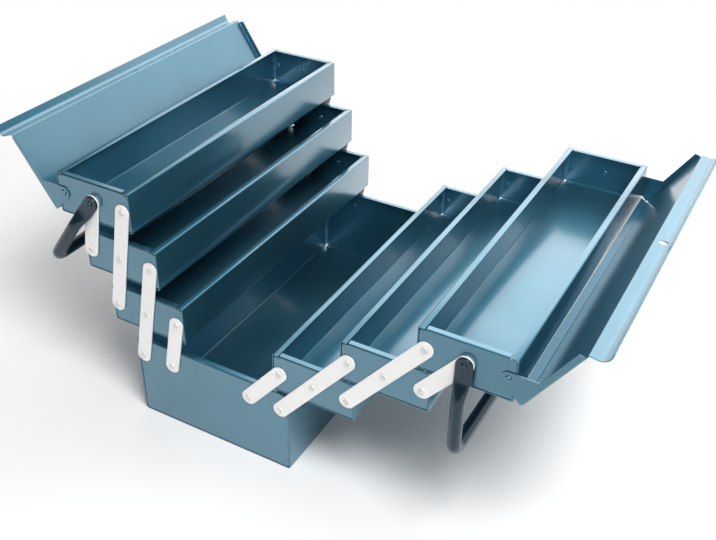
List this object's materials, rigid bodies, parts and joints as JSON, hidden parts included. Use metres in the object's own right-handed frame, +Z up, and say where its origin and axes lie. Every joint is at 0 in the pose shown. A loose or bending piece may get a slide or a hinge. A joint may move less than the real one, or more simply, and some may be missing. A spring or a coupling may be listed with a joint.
{
  "type": "cantilever tool box",
  "caption": "Steel tool box whose trays swing out and up on parallel links from both sides of a deep base, under two hinged lids with tube handles.",
  "frame": {"origin": "centre of the underside of the base", "axes": "+X across the box towards the fully open side, +Y along the box towards the rear end, +Z up"},
  "size_m": [0.7079, 0.4694, 0.3401],
  "materials": {
    "blue_enamel": "glossy enamel",
    "handle_enamel": "glossy enamel",
    "plated_steel": "zinc plated",
    "rivet_steel": "zinc plated"
  },
  "bodies": {
    "base": {"base_pan": "blue_enamel", "base_front_end": "blue_enamel", "base_rear_end": "blue_enamel", "base_rivets": "rivet_steel"},
    "left_base_short_links": {"left_base_short_link_front": "plated_steel", "left_base_short_link_rear": "plated_steel"},
    "left_base_long_links": {"left_base_long_link_front": "plated_steel", "left_base_long_link_rear": "plated_steel"},
    "left_upper_long_links": {"left_upper_long_link_front": "plated_steel", "left_upper_long_link_rear": "plated_steel"},
    "left_top_short_links": {"left_top_short_link_front": "plated_steel", "left_top_short_link_rear": "plated_steel"},
    "left_lower_tray": {"left_lower_tray_pan": "blue_enamel", "left_lower_tray_front_end": "blue_enamel", "left_lower_tray_rear_end": "blue_enamel", "left_lower_tray_rivets": "rivet_steel"},
    "left_middle_tray": {"left_middle_tray_pan": "blue_enamel", "left_middle_tray_front_end": "blue_enamel", "left_middle_tray_rear_end": "blue_enamel", "left_middle_tray_rivets": "rivet_steel"},
    "left_upper_tray": {"left_upper_tray_pan": "blue_enamel", "left_upper_tray_front_end": "blue_enamel", "left_upper_tray_rear_end": "blue_enamel", "left_upper_tray_rivets": "rivet_steel"},
    "left_lid": {"left_lid": "blue_enamel"},
    "left_handle": {"left_handle": "handle_enamel"},
    "right_base_short_links": {"right_base_short_link_front": "plated_steel", "right_base_short_link_rear": "plated_steel"},
    "right_base_long_links": {"right_base_long_link_front": "plated_steel", "right_base_long_link_rear": "plated_steel"},
    "right_upper_long_links": {"right_upper_long_link_front": "plated_steel", "right_upper_long_link_rear": "plated_steel"},
    "right_top_short_links": {"right_top_short_link_front": "plated_steel", "right_top_short_link_rear": "plated_steel"},
    "right_lower_tray": {"right_lower_tray_pan": "blue_enamel", "right_lower_tray_front_end": "blue_enamel", "right_lower_tray_rear_end": "blue_enamel", "right_lower_tray_rivets": "rivet_steel"},
    "right_middle_tray": {"right_middle_tray_pan": "blue_enamel", "right_middle_tray_front_end": "blue_enamel", "right_middle_tray_rear_end": "blue_enamel", "right_middle_tray_rivets": "rivet_steel"},
    "right_upper_tray": {"right_upper_tray_pan": "blue_enamel", "right_upper_tray_front_end": "blue_enamel", "right_upper_tray_rear_end": "blue_enamel", "right_upper_tray_rivets": "rivet_steel"},
    "right_lid": {"right_lid": "blue_enamel"},
    "right_handle": {"right_handle": "handle_enamel"}
  },
  "joints": [
    {"name": "left_fold", "type": "hinge", "parent": "base", "child": "left_base_long_links", "pos_m": [-0.0957, 0, 0.0885], "axis": [0, 1, 0], "range_deg": [-50.75, 28.15]},
    {"name": "left_base_short_link_pivot", "type": "hinge", "parent": "base", "child": "left_base_short_links", "pos_m": [-0.0539, 0, 0.0885], "axis": [0, 1, 0], "range_deg": [-50.76, 28.16]},
    {"name": "left_lower_tray_pivot", "type": "hinge", "parent": "left_base_long_links", "child": "left_lower_tray", "pos_m": [-0.08281, 0, 0.15301], "axis": [0, 1, 0], "range_deg": [-28.16, 50.76]},
    {"name": "left_upper_long_link_pivot", "type": "hinge", "parent": "left_lower_tray", "child": "left_upper_long_links", "pos_m": [-0.12461, 0, 0.15301], "axis": [0, 1, 0], "range_deg": [-50.76, 28.16]},
    {"name": "left_middle_tray_pivot", "type": "hinge", "parent": "left_upper_long_links", "child": "left_middle_tray", "pos_m": [-0.11172, 0, 0.21752], "axis": [0, 1, 0], "range_deg": [-28.16, 50.76]},
    {"name": "left_top_short_link_pivot", "type": "hinge", "parent": "left_middle_tray", "child": "left_top_short_links", "pos_m": [-0.15352, 0, 0.21752], "axis": [0, 1, 0], "range_deg": [-50.76, 28.16]},
    {"name": "left_upper_tray_pivot", "type": "hinge", "parent": "left_top_short_links", "child": "left_upper_tray", "pos_m": [-0.14063, 0, 0.28203], "axis": [0, 1, 0], "range_deg": [-28.16, 50.76]},
    {"name": "left_lid_hinge", "type": "hinge", "parent": "left_upper_tray", "child": "left_lid", "pos_m": [-0.18243, 0, 0.28203], "axis": [0, 1, 0], "range_deg": [0, 123]},
    {"name": "left_handle_pivot", "type": "hinge", "parent": "left_top_short_links", "child": "left_handle", "pos_m": [-0.14063, 0, 0.28203], "axis": [0, 1, 0], "range_deg": [-15, 66]},
    {"name": "right_fold", "type": "hinge", "parent": "base", "child": "right_base_long_links", "pos_m": [0.0957, 0, 0.0885], "axis": [0, -1, 0], "range_deg": [0, 78.9]},
    {"name": "right_base_short_link_pivot", "type": "hinge", "parent": "base", "child": "right_base_short_links", "pos_m": [0.0539, 0, 0.0885], "axis": [0, -1, 0], "range_deg": [0, 78.91]},
    {"name": "right_lower_tray_pivot", "type": "hinge", "parent": "right_base_long_links", "child": "right_lower_tray", "pos_m": [0.1375, 0, 0.1393], "axis": [0, -1, 0], "range_deg": [-78.91, 0]},
    {"name": "right_upper_long_link_pivot", "type": "hinge", "parent": "right_lower_tray", "child": "right_upper_long_links", "pos_m": [0.1793, 0, 0.1393], "axis": [0, -1, 0], "range_deg": [0, 78.91]},
    {"name": "right_middle_tray_pivot", "type": "hinge", "parent": "right_upper_long_links", "child": "right_middle_tray", "pos_m": [0.2211, 0, 0.1901], "axis": [0, -1, 0], "range_deg": [-78.91, 0]},
    {"name": "right_top_short_link_pivot", "type": "hinge", "parent": "right_middle_tray", "child": "right_top_short_links", "pos_m": [0.2629, 0, 0.1901], "axis": [0, -1, 0], "range_deg": [0, 78.91]},
    {"name": "right_upper_tray_pivot", "type": "hinge", "parent": "right_top_short_links", "child": "right_upper_tray", "pos_m": [0.3047, 0, 0.2409], "axis": [0, -1, 0], "range_deg": [-78.91, 0]},
    {"name": "right_lid_hinge", "type": "hinge", "parent": "right_upper_tray", "child": "right_lid", "pos_m": [0.3465, 0, 0.2409], "axis": [0, -1, 0], "range_deg": [0, 123]},
    {"name": "right_handle_pivot", "type": "hinge", "parent": "right_top_short_links", "child": "right_handle", "pos_m": [0.3047, 0, 0.2409], "axis": [0, -1, 0], "range_deg": [-30, 102]}
  ],
  "couplings": [
    {"joint": "left_base_short_link_pivot", "follows": "left_fold", "ratio": 1},
    {"joint": "left_lower_tray_pivot", "follows": "left_fold", "ratio": -1},
    {"joint": "left_upper_long_link_pivot", "follows": "left_fold", "ratio": 1},
    {"joint": "left_middle_tray_pivot", "follows": "left_fold", "ratio": -1},
    {"joint": "left_top_short_link_pivot", "follows": "left_fold", "ratio": 1},
    {"joint": "left_upper_tray_pivot", "follows": "left_fold", "ratio": -1},
    {"joint": "right_base_short_link_pivot", "follows": "right_fold", "ratio": 1},
    {"joint": "right_lower_tray_pivot", "follows": "right_fold", "ratio": -1},
    {"joint": "right_upper_long_link_pivot", "follows": "right_fold", "ratio": 1},
    {"joint": "right_middle_tray_pivot", "follows": "right_fold", "ratio": -1},
    {"joint": "right_top_short_link_pivot", "follows": "right_fold", "ratio": 1},
    {"joint": "right_upper_tray_pivot", "follows": "right_fold", "ratio": -1}
  ]
}
